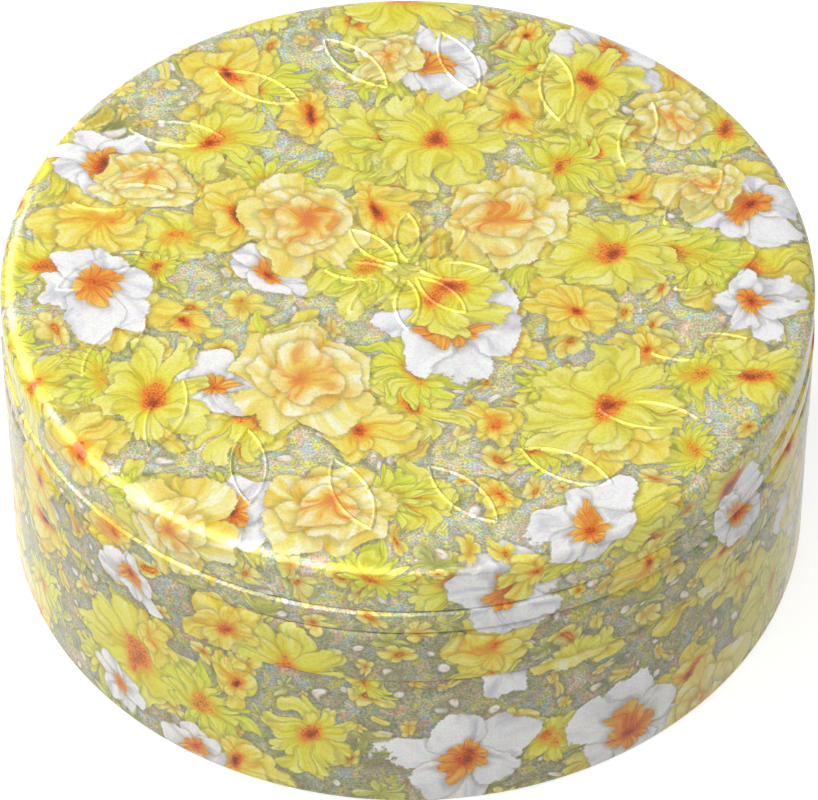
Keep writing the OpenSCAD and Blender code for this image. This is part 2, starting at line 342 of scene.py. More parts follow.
# %% One ring of petals: a node group
def petals_group():
    """Draws a ring of petals round the middle of each spot, over the colour below."""
    t, given, end = new_group(
        "petals",
        [("Below", "Color"), ("Spot", "Vector"), ("Size", "Float"), ("Random", "Vector"), ("Present", "Float"),
         ("Grain", "Float"), ("Wash", "Float"), ("Count", "Float"), ("Phase", "Float"), ("Reach", "Float"),
         ("Gap", "Float"), ("Blunt", "Float"), ("Notch", "Float"), ("Throat", "Color"), ("Body", "Color"),
         ("Second", "Color"), ("Tip", "Color"), ("Shade", "Color"), ("Streak", "Float"), ("Pen", "Float")],
        [("Color", "Color")],
    )
    xyz = add(t, "ShaderNodeSeparateXYZ", given["Spot"]).node.outputs
    pick = add(t, "ShaderNodeSeparateXYZ", given["Random"]).node.outputs
    length = add(t, VECTOR, given["Spot"], operation="LENGTH", out="Value")
    r = add(t, MATH, length, given["Reach"], operation="DIVIDE")
    angle = add(t, MATH, xyz[1], xyz[0], operation="ARCTAN2")
    turns = add(t, MATH, angle, 1 / (2 * math.pi), operation="MULTIPLY")
    steps = add(t, MATH, turns, given["Count"], given["Phase"], operation="MULTIPLY_ADD")
    wrapped = add(t, MATH, steps, given["Count"], operation="FLOORED_MODULO")
    petal = add(t, MATH, wrapped, operation="FLOOR")
    across = add(t, MATH, add(t, MATH, wrapped, petal, operation="SUBTRACT"), 0.5, operation="SUBTRACT")
    key = add(t, "ShaderNodeCombineXYZ", petal, add(t, MATH, pick[0], 91.7, operation="MULTIPLY"), given["Reach"])
    chance = add(t, "ShaderNodeTexWhiteNoise", key, noise_dimensions="3D", out="Color")
    luck = add(t, "ShaderNodeSeparateXYZ", chance).node.outputs
    side = add(t, MATH, add(t, MATH, across, operation="ABSOLUTE"), 2.0, operation="MULTIPLY")
    # The petal's edge, as a share of its reach
    cut = add(t, MATH, add(t, MATH, side, given["Blunt"], operation="POWER"), given["Gap"], operation="MULTIPLY")
    dip = add(t, MATH, add(t, MATH, side, -3.5, 1.0, operation="MULTIPLY_ADD"), 0.0, operation="MAXIMUM")
    nick = add(t, MATH, add(t, MATH, dip, dip, operation="MULTIPLY"), given["Notch"], cut, operation="MULTIPLY_ADD")
    ragged = add(t, MATH, add(t, MATH, given["Grain"], 0.5, operation="SUBTRACT"), 0.18, nick,
                 operation="MULTIPLY_ADD")
    shape = add(t, MATH, 1.0, ragged, operation="SUBTRACT")
    full = add(t, MATH, add(t, MATH, luck[0], -0.25, 1.0, operation="MULTIPLY_ADD"), shape, operation="MULTIPLY")
    edge = add(t, MATH, full, 0.02, operation="MAXIMUM")
    size = add(t, MATH, given["Size"], given["Reach"], operation="MULTIPLY")
    depth = add(t, MATH, add(t, MATH, edge, r, operation="SUBTRACT"), size, operation="MULTIPLY")
    # Wet paint: a wash from throat to tip, pale patches and darker streaks along the petal
    along = add(t, MATH, r, edge, operation="DIVIDE")
    body = add(t, MIX, add(t, MATH, pick[1], given["Wash"], 0.12, operation="MULTIPLY_ADD"), given["Body"],
               given["Second"], data_type="RGBA")
    opened = add(t, "ShaderNodeMapRange", along, 0.06, 0.55, 0.0, 1.0, interpolation_type="SMOOTHSTEP")
    inner = add(t, MIX, opened, given["Throat"], body, data_type="RGBA")
    streak_at = add(t, "ShaderNodeCombineXYZ", add(t, MATH, across, 5.0, operation="MULTIPLY"),
                    add(t, MATH, r, 1.5, operation="MULTIPLY"), add(t, MATH, luck[1], 57.0, operation="MULTIPLY"))
    streak = add(t, "ShaderNodeTexNoise", streak_at, 1.0, 2.0, 0.6, noise_dimensions="3D")
    pale = add(t, "ShaderNodeMapRange", streak, 0.5, 0.66, 0.0, 0.85, interpolation_type="SMOOTHSTEP")
    outward = add(t, "ShaderNodeMapRange", along, 0.25, 1.05, 0.15, 1.0, interpolation_type="SMOOTHSTEP")
    tipped = add(t, MATH, add(t, MATH, pale, 0.45, operation="ADD"), outward, operation="MULTIPLY")
    outer = add(t, MIX, tipped, inner, given["Tip"], data_type="RGBA")
    dark = add(t, "ShaderNodeMapRange", streak, 0.52, 0.3, 0.0, given["Streak"], interpolation_type="SMOOTHSTEP")
    joint = add(t, "ShaderNodeMapRange", side, 0.62, 1.0, 0.0, 0.5, interpolation_type="SMOOTHSTEP")
    fold = add(t, MATH, add(t, MATH, luck[2], 0.5, operation="SUBTRACT"), across, operation="MULTIPLY")
    turned_away = add(t, MATH, add(t, MATH, fold, 0.0, operation="MAXIMUM"), 2.2, dark, operation="MULTIPLY_ADD")
    shade = add(t, MATH, turned_away, joint, operation="ADD", use_clamp=True)
    painted = add(t, MIX, shade, outer, given["Shade"], data_type="RGBA")
    # A broken pen line round it
    pressed = add(t, "ShaderNodeMapRange", given["Wash"], 0.46, 0.58, 0.1, given["Pen"])
    line = add(t, "ShaderNodeMapRange", depth, 0.0, 0.18, pressed, 0.0, interpolation_type="SMOOTHSTEP")
    inked = add(t, MIX, line, painted, rgb("#6F6244"), data_type="RGBA")
    # Its shadow on what lies below it
    near = add(t, "ShaderNodeMapRange", depth, -0.9, 0.05, 0.0, 0.36, interpolation_type="SMOOTHSTEP")
    cast = add(t, MATH, near, given["Present"], operation="MULTIPLY")
    ground = add(t, MIX, cast, given["Below"], rgb("#77704A"), data_type="RGBA")
    inside = add(t, "ShaderNodeMapRange", depth, -0.09, 0.09, 0.0, given["Present"])
    final = add(t, MIX, inside, ground, inked, data_type="RGBA")
    t.links.new(final, end.inputs["Color"])
    return t


# %% The heart of a blossom: a node group
def heart_group():
    """Draws the disc or cup in the middle of each spot: a core, a rim, and grains of pollen."""
    t, given, end = new_group(
        "heart",
        [("Below", "Color"), ("Spot", "Vector"), ("Size", "Float"), ("Present", "Float"), ("Grain", "Float"),
         ("Dots", "Float"), ("Radius", "Float"), ("Core", "Color"), ("Rim", "Color")],
        [("Color", "Color")],
    )
    length = add(t, VECTOR, given["Spot"], operation="LENGTH", out="Value")
    rough = add(t, MATH, given["Grain"], 0.8, 0.6, operation="MULTIPLY_ADD")
    r = add(t, MATH, add(t, MATH, length, given["Radius"], operation="DIVIDE"), rough, operation="MULTIPLY")
    size = add(t, MATH, given["Size"], given["Radius"], operation="MULTIPLY")
    depth = add(t, MATH, add(t, MATH, 1.0, r, operation="SUBTRACT"), size, operation="MULTIPLY")
    rim = add(t, "ShaderNodeMapRange", r, 0.2, 0.95, 0.0, 1.0, interpolation_type="SMOOTHSTEP")
    colour = add(t, MIX, rim, given["Core"], given["Rim"], data_type="RGBA")
    bright = add(t, MATH, given["Dots"], 1.3, 0.4, operation="MULTIPLY_ADD")
    dotted = add(t, VECTOR, colour, bright, operation="SCALE")
    near = add(t, "ShaderNodeMapRange", depth, -0.9, 0.0, 0.0, 0.45, interpolation_type="SMOOTHSTEP")
    ring = add(t, MIX, add(t, MATH, near, given["Present"], operation="MULTIPLY"), given["Below"],
               given["Rim"], data_type="RGBA")
    inside = add(t, "ShaderNodeMapRange", depth, -0.06, 0.08, 0.0, given["Present"])
    t.links.new(add(t, MIX, inside, ring, dotted, data_type="RGBA"), end.inputs["Color"])
    return t


scatter, petals, heart = scatter_group(), petals_group(), heart_group()
print("blossom groups:", [len(g.nodes) for g in (scatter, petals, heart)], "nodes")


# %% Kinds of blossom
def ring(count, phase, reach, gap, blunt, notch, throat, body, second, tip, shade, streak=0.6, pen=0.6):
    return dict(Count=count, Phase=phase, Reach=reach, Gap=gap, Blunt=blunt, Notch=notch, Throat=rgb(throat),
                Body=rgb(body), Second=rgb(second), Tip=rgb(tip), Shade=rgb(shade), Streak=streak, Pen=pen)


def centre(radius, core, rim):
    return dict(Radius=radius, Core=rgb(core), Rim=rgb(rim))


KINDS = {
    "leaves": ([ring(5, 0.3, 1.0, 0.8, 1.1, 0, "#A6A84A", "#D2D04E", "#B4C094", "#ECEA9A", "#8C9450")], None),
    "buds": ([ring(1, 0.0, 1.0, 0.0, 1.0, 0, "#FBF3DC", "#FFFFFF", "#F6D9A4", "#FFFFFF", "#E6C79A", 0.3, 0.2)], None),
    "florets": ([ring(5, 0.0, 1.0, 0.42, 3.0, 0, "#E8961E", "#F0E01C", "#F4F0B4", "#FBF59C", "#DCBE1C", 0.4, 0.4)],
                centre(0.25, "#E9902C", "#C9701E")),
    "cosmos": ([ring(8, 0.0, 1.0, 0.55, 3.0, 0.1, "#E8C41A", "#ECE41C", "#F0EA5A", "#F8F49A", "#CFC41E", 0.6),
                ring(7, 0.4, 0.8, 0.55, 2.8, 0.1, "#E8AE1A", "#EDE51A", "#EEEA4E", "#F7F28A", "#D6BE18", 0.6, 0.5)],
               centre(0.2, "#A8431E", "#EE8A28")),
    "buttercup": ([ring(5, 0.0, 1.0, 0.45, 3.0, 0, "#E8A01C", "#F0D81A", "#F0E43A", "#FAF08C", "#E2B01E", 0.6),
                   ring(5, 0.5, 0.74, 0.42, 2.6, 0, "#EC861A", "#F4DA1E", "#F3E64A", "#FAF198", "#E8A51C", 0.6, 0.5)],
                  centre(0.17, "#7E3A1E", "#E8701E")),
    "marigold": ([ring(13, 0.0, 1.0, 0.6, 1.8, 0, "#C9C21C", "#DCE51E", "#EAE834", "#F1F07A", "#AEB81C", 0.6),
                  ring(11, 0.5, 0.72, 0.56, 1.8, 0, "#DDB01C", "#E6E620", "#EEE434", "#F3F080", "#C0B81C", 0.5, 0.5)],
                 centre(0.18, "#C4601C", "#E8A82C")),
    "narcissus": ([ring(3, 0.0, 1.0, 0.8, 1.9, 0, "#E4DFC4", "#F2F0F1", "#FBF9F0", "#FFFFFF", "#BDBCC8", 0.6, 0.5),
                   ring(3, 0.5, 0.96, 0.8, 1.9, 0, "#EFE2A8", "#F6F5F5", "#FDFBF2", "#FFFFFF", "#C2C0CC", 0.6, 0.5),
                   ring(9, 0.2, 0.42, 0.2, 2.0, 0, "#C8501A", "#EE8A26", "#F4B03A", "#F8CE5C", "#DC681E", 0.7, 0.6)],
                  centre(0.14, "#8E3A18", "#D8601C")),
    "camellia": ([ring(5, 0.0, 1.0, 0.26, 4.0, 0, "#EFB42E", "#F4E22A", "#F6E85E", "#FFFBD0", "#EFCB34", 0.7),
                  ring(4, 0.4, 0.74, 0.26, 3.5, 0, "#EE9C28", "#F4DE2E", "#F7EA66", "#FFFCD8", "#EEB630", 0.7),
                  ring(3, 0.1, 0.46, 0.25, 3.0, 0, "#E66C18", "#F5CE2C", "#F6E460", "#FEF9CC", "#EC902A", 0.7)],
                 None),
}
print("kinds:", *KINDS)

# %% [markdown]
# Each layer gives the size of its cells in millimetres, so the blossoms have the size of a
# collage that was made for a box of this size: large ones 10 to 15 mm across, small ones 2 to 4.
# The lid is drawn from a flat sheet, so the pattern on its panel runs on over the shoulder, and
# distance along the sheet, not height, places what is on the skirt.

# %% Measures of the print
FULL_TURN_MM = 2 * math.pi * OUTER_R  # round the wall
AXES_FLAT, AXES_WALL = (1, 1, 0), (0, 1, 0)  # what counts as distance along the sheet
FAR = 99  # millimetres along the sheet, past its end
PAINTED_WALL_SHADE = 0.72  # painted shade: the share the walls' ground is darkened to, because the upright sides get less light than the panel
print("round the wall:", round(FULL_TURN_MM, 1), "mm")


# %% One layer of blossoms
def bloom(t, colour, point, shared, start, stop, axes, kind, cell, offset, share, largest=FAR, loose=0.8,
          squash=0.5, seam=FULL_TURN_MM):
    """Adds one layer of a kind of blossom over a colour."""
    # Cycles holds at most 255 numbers while it works out a material, so each layer is made to wait
    # for the one below: its point depends on the colour so far, by an amount too small to see
    point = add(t, VECTOR, colour, (1e-7, 1e-7, 1e-7), point, operation="MULTIPLY_ADD")
    spread = add(t, "ShaderNodeGroup", node_tree=scatter, named={
        "Point": point, "Cell": cell, "Offset": offset, "Loose": loose, "Largest": largest, "Share": share,
        "Squash": squash, "Reach Axes": axes, "From": start, "To": stop, "Seam": seam})
    place = {s.name: s for s in spread.node.outputs}
    rings, middle = KINDS[kind]
    groups = [(petals, values) for values in rings] + ([(heart, middle)] if middle else [])
    for group, values in groups:
        known = {**place, **shared, **values, "Below": colour}
        named = {s.name: known[s.name] for s in group.interface.items_tree if s.in_out == "INPUT"}
        colour = add(t, "ShaderNodeGroup", node_tree=group, named=named)
    return colour


# %% The printed sheet: ground, blossoms, dot screen and varnish
def printed_sheet(name, flat_layers, wall_layers, top, edge, shade_at_wall_top):
    """Ink with a painted shade that darkens the walls, and varnish. Flat layers end and wall layers start at edge, a
    distance along the sheet.
    """
    material = bpy.data.materials.new(name)
    material.use_nodes = True
    t = material.node_tree
    t.nodes.clear()
    place = add(t, "ShaderNodeTexCoord", out="Object")
    mm = add(t, VECTOR, place, TO_MM, operation="MULTIPLY")
    loose_hand = add(t, "ShaderNodeTexNoise", mm, 0.24, 1.0, 0.5, out="Color")
    drift = add(t, VECTOR, add(t, VECTOR, loose_hand, (0.5, 0.5, 0.5), operation="SUBTRACT"), 4.5, operation="SCALE")
    x, y, z = add(t, "ShaderNodeSeparateXYZ", mm).node.outputs[:3]
    flat = add(t, VECTOR, mm, (1, 1, 0), operation="MULTIPLY")
    radius = add(t, VECTOR, flat, operation="LENGTH", out="Value")
    drop = add(t, MATH, top, z, operation="SUBTRACT")
    run = add(t, MATH, radius, drop, operation="ADD")
    out_way = add(t, VECTOR, flat, operation="NORMALIZE")
    plane = add(t, VECTOR, add(t, VECTOR, out_way, run, operation="SCALE"), drift, operation="ADD")
    turn = add(t, MATH, x, add(t, MATH, y, -1.0, operation="MULTIPLY"), operation="ARCTAN2")
    round_mm = add(t, MATH, turn, OUTER_R, operation="MULTIPLY")
    # Ground: dabs of wash, speckled
    wash = add(t, "ShaderNodeTexNoise", mm, 0.3, 3.0, 0.6)
    grain = add(t, "ShaderNodeTexNoise", mm, 1.7, 2.0, 0.6)
    screen = add(t, "ShaderNodeTexNoise", mm, 5.0, 0.0, 0.5, out="Color")
    dots = add(t, "ShaderNodeSeparateXYZ", screen)
    near_dab = add(t, VECTOR, drift, (0.6, 0.6, 0.6), mm, operation="MULTIPLY_ADD")
    dab = add(t, "ShaderNodeTexVoronoi", near_dab, 0.85, named={"Randomness": 1.0}, feature="F1", out="Color")
    which = add(t, MATH, add(t, "ShaderNodeSeparateXYZ", dab), 0.55, add(t, MATH, wash, 0.9, -0.2,
                operation="MULTIPLY_ADD"), operation="MULTIPLY_ADD")
    ramp = add(t, "ShaderNodeValToRGB", which).node.color_ramp
    stops = [(0.1, "#C6BC98"), (0.28, "#D4CA9E"), (0.42, "#BAC59A"), (0.5, "#E4DBB8"), (0.58, "#E9E168"),
             (0.68, "#C4D8D6"), (0.78, "#EBC79C"), (0.9, "#F2EDD2")]
    while len(ramp.elements) < len(stops):
        ramp.elements.new(0.5)
    for element, (position, code) in zip(ramp.elements, stops):
        element.position, element.color = position, rgb(code)
    ground = t.nodes[-1].outputs[0]
    grey = add(t, MATH, dots, 0.8, 0.34, operation="MULTIPLY_ADD")
    speck = add(t, VECTOR, screen, (0.5, 0.5, 0.5), grey, operation="MULTIPLY_ADD")
    # Painted shade: the ground darkens from the level at the top of the wall to a darker one 3 to 9 mm down the
    # sheet, where less light falls
    dim = add(t, "ShaderNodeMapRange", drop, 3.0, 9.0, shade_at_wall_top, PAINTED_WALL_SHADE)
    colour = add(t, VECTOR, add(t, VECTOR, ground, speck, operation="MULTIPLY"), dim, operation="SCALE")
    shared = {"Grain": grain, "Wash": wash, "Dots": dots}
    for i, layer in enumerate(wall_layers):
        shifted = add(t, MATH, round_mm, 9 * (i - 2), operation="ADD")
        u = add(t, MATH, shifted, FULL_TURN_MM / 2, -FULL_TURN_MM / 2, operation="WRAP")
        point = add(t, VECTOR, add(t, "ShaderNodeCombineXYZ", u, run, 0.0), drift, operation="ADD")
        colour = bloom(t, colour, point, shared, edge, FAR, AXES_WALL, seam=FULL_TURN_MM / 2 - 2, **layer)
    for layer in flat_layers:
        colour = bloom(t, colour, plane, shared, -1, edge, AXES_FLAT, **layer)
    # The press's dot screen: 0.19 mm from dot to dot, drawn at about 0.25 mm
    ink = add(t, VECTOR, screen, (0.34, 0.34, 0.34), (0.83, 0.83, 0.83), operation="MULTIPLY_ADD")
    # Painted shade: the whole print on the walls is darkened a little more, by a quarter of the ground's painted
    # shade
    shade = add(t, MATH, dim, 0.25, 0.75, operation="MULTIPLY_ADD")
    colour = add(t, VECTOR, add(t, VECTOR, colour, ink, operation="MULTIPLY"), shade, operation="SCALE")
    # The varnish is smooth with a slight orange peel, so it draws bright bands along every edge.
    # Under it, a little of the bright sheet shows through the inks and widens those bands.
    peel = add(t, "ShaderNodeTexNoise", mm, 0.9, 1.0, 0.5)
    bump = add(t, "ShaderNodeBump", named={"Height": peel, "Distance": 0.006 * MM, "Strength": 1.0})
    surface = add(t, "ShaderNodeBsdfPrincipled", named={
        "Base Color": colour, "Metallic": 0.33, "Roughness": 0.35, "Specular IOR Level": 0.0, "Coat Weight": 0.65,
        "Coat Roughness": 0.13, "Coat IOR": 1.5, "Normal": bump, "Coat Normal": bump})
    add(t, "ShaderNodeOutputMaterial", surface)
    return material


# %% The lid's print and the base's
lid_print = printed_sheet(
    "varnished lid print",
    [
        dict(kind="leaves", cell=8.0, offset=(3.1, 7.7, 0), share=1),
        dict(kind="buds", cell=2.6, offset=(13.4, 2.2, 0), share=0.6, largest=0.55),
        dict(kind="florets", cell=4.6, offset=(3.4, 12.2, 0), share=0.95, largest=2.4),
        dict(kind="buttercup", cell=9.5, offset=(25.3, 3.2, 0), share=0.8, loose=0.5),
        dict(kind="cosmos", cell=15.5, offset=(15.3, 9.2, 0), share=1, loose=0.45),
        dict(kind="marigold", cell=12.5, offset=(5.3, 17.2, 0), share=0.9, loose=0.55),
        dict(kind="buttercup", cell=14, offset=(21.3, 4.6, 0), share=0.8, loose=0.55),
        dict(kind="narcissus", cell=15, offset=(9.2, 12.5, 0), share=0.4, loose=0.65),
        dict(kind="cosmos", cell=19, offset=(7.3, 9.2, 0), share=0.5, loose=0.5),
        dict(kind="camellia", cell=17, offset=(31.7, 8.9, 0), share=0.32, loose=0.65),
    ],
    [
        dict(kind="leaves", cell=8.0, offset=(3.1, 7.7, 0), share=1),
        dict(kind="buds", cell=2.4, offset=(13.4, 2.2, 0), share=0.6, largest=0.6),
        dict(kind="florets", cell=4.6, offset=(13.4, 2.2, 0), share=0.95, largest=2.4),
        dict(kind="cosmos", cell=14, offset=(25.3, 4.6, 0), share=1, loose=0.55),
        dict(kind="buttercup", cell=12, offset=(5.3, 9.6, 0), share=0.75, loose=0.65),
        dict(kind="narcissus", cell=15, offset=(7.2, 12.5, 0), share=0.6, loose=0.65),
    ],
    top=CLOSED_H,
    edge=OUTER_R + 1.5,
    shade_at_wall_top=1.0,
)
base_print = printed_sheet(
    "varnished base print",
    [],
    [
        dict(kind="leaves", cell=8.0, offset=(1.1, 3.7, 0), share=1),
        dict(kind="buds", cell=2.4, offset=(23.4, 8.2, 0), share=0.6, largest=0.6),
        dict(kind="florets", cell=4.6, offset=(3.4, 7.2, 0), share=0.95, largest=2.4),
        dict(kind="cosmos", cell=17.5, offset=(2.3, 14.6, 0), share=1, loose=0.55),
        dict(kind="marigold", cell=12, offset=(15.3, 2.6, 0), share=0.8, loose=0.65),
        dict(kind="buttercup", cell=13, offset=(9.3, 6.6, 0), share=0.7, loose=0.65),
        dict(kind="narcissus", cell=18.5, offset=(17.2, 2.5, 0), share=0.65, loose=0.65),
        dict(kind="camellia", cell=19, offset=(27.2, 6.5, 0), share=0.45, loose=0.65),
    ],
    top=LID_EDGE_Z,
    edge=-1,
    shade_at_wall_top=PAINTED_WALL_SHADE,
)
print("prints:", lid_print.name, len(lid_print.node_tree.nodes), "nodes;", base_print.name,
      len(base_print.node_tree.nodes), "nodes")

# %% [markdown]
# ## Bare metal
# Inside, the shells are aluminium sheet under a thin clear lacquer, as food packing needs. Rolling
# leaves it satin, and drawing it over a punch leaves faint rings. The knob and its rivet are
# turned on a lathe, so fine grooves run round them. A metal's colour is its reflection, so each
# finish is a pale grey, a roughness and fine rings of bump.


# %% Aluminium finishes
def ringed_aluminium(name, colour, rough, rings_per_mm, height_mm, along):
    """Satin aluminium with rings round the axis; along tells which coordinate counts the rings."""
    material = bpy.data.materials.new(name)
    material.use_nodes = True
    t = material.node_tree
    t.nodes.clear()
    mm = add(t, VECTOR, add(t, "ShaderNodeTexCoord", out="Object"), TO_MM, operation="MULTIPLY")
    radius = add(t, VECTOR, add(t, VECTOR, mm, (1, 1, 0), operation="MULTIPLY"), operation="LENGTH", out="Value")
    z = add(t, "ShaderNodeSeparateXYZ", mm, out="Z")
    across = add(t, MATH, add(t, MATH, radius, along[0], operation="MULTIPLY"),
                 add(t, MATH, z, along[1], operation="MULTIPLY"), operation="ADD")
    groove = add(t, "ShaderNodeTexNoise", named={"W": across, "Scale": rings_per_mm, "Detail": 2.0},
                 noise_dimensions="1D")
    cloud = add(t, "ShaderNodeTexNoise", mm, 0.12, 3.0, 0.6)
    smear = add(t, MATH, cloud, 0.16, rough - 0.08, operation="MULTIPLY_ADD")
    roughness = add(t, MATH, groove, 0.14, add(t, MATH, smear, 0.07, operation="SUBTRACT"), operation="MULTIPLY_ADD")
    tint = add(t, MIX, cloud, rgb(colour[0]), rgb(colour[1]), data_type="RGBA")
    bump = add(t, "ShaderNodeBump", named={"Height": groove, "Distance": height_mm * MM, "Strength": 1.0})
    surface = add(t, "ShaderNodeBsdfPrincipled", named={
        "Base Color": tint, "Metallic": 1.0, "Roughness": roughness, "Normal": bump})
    add(t, "ShaderNodeOutputMaterial", surface)
    return material


# Real turning grooves are 0.05 to 0.1 mm apart; both finishes are drawn at 0.2 to 0.4 mm, to show
sheet_metal = ringed_aluminium("lacquered aluminium sheet", ("#D9D6CC", "#CFCCC3"), 0.34, 2.5, 0.004, (1, 0.6))
lid_metal = ringed_aluminium("satin aluminium sheet", ("#D8D8D6", "#CDCDCC"), 0.3, 3.0, 0.005, (1, 0.6))
turned_metal = ringed_aluminium("turned aluminium", ("#CFCFD0", "#C4C4C6"), 0.24, 5.0, 0.006, (1, 1.3))
print("finishes:", [m.name for m in bpy.data.materials])

# %% [markdown]
# ## Lid and base
# Both shells come off the lathe closed: down the outside of the path and back up the inside. Only
# the outer points of the wall and the panel carry the print. The neck, the rim, the floor and all
# of the inside stay bare.

# %% Lid and base
lid_piece = turned("lid", lid_path + beside(lid_path, SHEET)[::-1], sheet_metal, lid_print, range(len(lid_path)))
printed_points = range(len(base_floor) - 1, len(base_floor) + len(base_wall))
base_piece = turned("base", base_path + beside(base_path, -SHEET)[::-1], sheet_metal, base_print, printed_points)

# %% [markdown]
# ## Inner lid, knob and rivet
# The inner lid is a shallow pan with a flange that rests on the rim. It is pressed in by hand and
# lifted by its turned knob, which a rivet holds from below. These are round too, so they come off
# the same lathe.

# %% Inner lid
PAN_DEPTH, PAN_BEND = 2.6, 0.9
FLANGE_TOP_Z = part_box("inner_lid")[1].z / MM
FLANGE_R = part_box("inner_lid")[1].x / MM
PAN_Z = FLANGE_TOP_Z - PAN_DEPTH
PAN_R = NECK_R - 2 * CURL_R - 0.1
HOLE_R = 1.52
pan_path = (
    [(HOLE_R, PAN_Z)]
    + ellipse(PAN_R - SHEET - PAN_BEND, PAN_Z + PAN_BEND, PAN_BEND, PAN_BEND, 270, 360, 12)
    + ellipse(PAN_R - SHEET + PAN_BEND, FLANGE_TOP_Z - PAN_BEND, PAN_BEND, PAN_BEND, 180, 90, 12)
    + [(FLANGE_R, FLANGE_TOP_Z)]
)
inner_piece = turned("inner_lid_pan", pan_path + beside(pan_path, SHEET)[::-1], lid_metal, closed=True)

# %% Knob and rivet
KNOB_TOP_Z, KNOB_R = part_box("inner_lid_knob")[1].z / MM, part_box("inner_lid_knob")[1].x / MM
KNOB_FOOT_R, KNOB_WAIST_R, KNOB_EDGE_R, KNOB_FOOT_H = 4.0, 3.0, 0.8, 0.6
SHANK_R, GRIP = 1.5, 3.0
edge_z = PAN_Z + 0.62 * (KNOB_TOP_Z - PAN_Z)
edge_x = KNOB_R - KNOB_EDGE_R
crown_angle = 90 - 2 * math.degrees(math.atan((KNOB_TOP_Z - edge_z - KNOB_EDGE_R) / edge_x))
crown_r = KNOB_EDGE_R + edge_x / math.cos(math.radians(crown_angle))
waist_h = edge_z - KNOB_EDGE_R - PAN_Z - KNOB_FOOT_H
knob_path = (
    [(0, PAN_Z + GRIP), (HOLE_R, PAN_Z + GRIP), (HOLE_R, PAN_Z), (KNOB_FOOT_R, PAN_Z)]
    + ellipse(KNOB_FOOT_R, edge_z - KNOB_EDGE_R, KNOB_FOOT_R - KNOB_WAIST_R, waist_h, 270, 180, 20)
    + ellipse(edge_x, edge_z, KNOB_EDGE_R, KNOB_EDGE_R, 270, 360 + crown_angle, 20)
    + ellipse(0, KNOB_TOP_Z - crown_r, crown_r, crown_r, crown_angle, 90, 16)
)
knob_piece = turned("knob", knob_path, turned_metal, steps=128)
HEAD_R, HEAD_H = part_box("knob_rivet")[1].x / MM, 0.7
rivet_path = ellipse(0, PAN_Z - SHEET, HEAD_R, HEAD_H, 270, 360, 14) + [
    (SHANK_R, PAN_Z - SHEET), (SHANK_R, PAN_Z + GRIP), (0, PAN_Z + GRIP)]
rivet_piece = turned("rivet", rivet_path, turned_metal, steps=96)

# %% [markdown]
# ## The embossed ornament
# After printing, a die presses a ring of leaves and a rosette into the lid as thin raised lines.
# Each leaf's outline is two arcs that meet in points. Geometry Nodes bend one circle into that
# outline, sweep a low round ridge along it, and set copies round the axis. The lines carry the
# print on, because the pattern follows Object coordinates.

# %% Embossing: a Geometry Nodes tree
LINE_W, LINE_H, LINE_ROOT = 0.5, 0.17, 0.03  # millimetres; the root sinks into the panel


def leaf_ring(t, length, count, distance, slant, ridge):
    """One ring of leaf outlines that point outwards: nodes for the outline, the sweep and the copies."""
    bow = add(t, MATH, length, 0.8, operation="MULTIPLY")
    rise = add(t, MATH, length, math.sqrt(0.8**2 - 0.5**2), operation="MULTIPLY")
    circle = add(t, "GeometryNodeCurvePrimitiveCircle", 48, 1.0)
    px, py = add(t, "ShaderNodeSeparateXYZ", add(t, "GeometryNodeInputPosition")).node.outputs[:2]
    x = add(t, MATH, add(t, MATH, px, length, operation="MULTIPLY"), 0.5, operation="MULTIPLY")
    square = add(t, MATH, add(t, MATH, bow, bow, operation="MULTIPLY"), add(t, MATH, x, x, operation="MULTIPLY"),
                 operation="SUBTRACT")
    bulge = add(t, MATH, add(t, MATH, square, operation="SQRT"), rise, operation="SUBTRACT")
    y = add(t, MATH, bulge, add(t, MATH, py, operation="SIGN"), operation="MULTIPLY")
    place = add(t, "ShaderNodeCombineXYZ", x, y, 0.0)
    outline = add(t, "GeometryNodeSetPosition", circle, None, place)
    leaf = add(t, "GeometryNodeCurveToMesh", outline, ridge)
    ring = add(t, "GeometryNodeCurvePrimitiveCircle", count, distance)
    number = add(t, "GeometryNodeInputIndex")
    step = add(t, MATH, 2 * math.pi, count, operation="DIVIDE")
    turn = add(t, MATH, number, step, slant, operation="MULTIPLY_ADD")
    angles = add(t, "ShaderNodeCombineXYZ", 0.0, 0.0, turn)
    return add(t, "GeometryNodeInstanceOnPoints", named={"Points": ring, "Instance": leaf, "Rotation": angles})


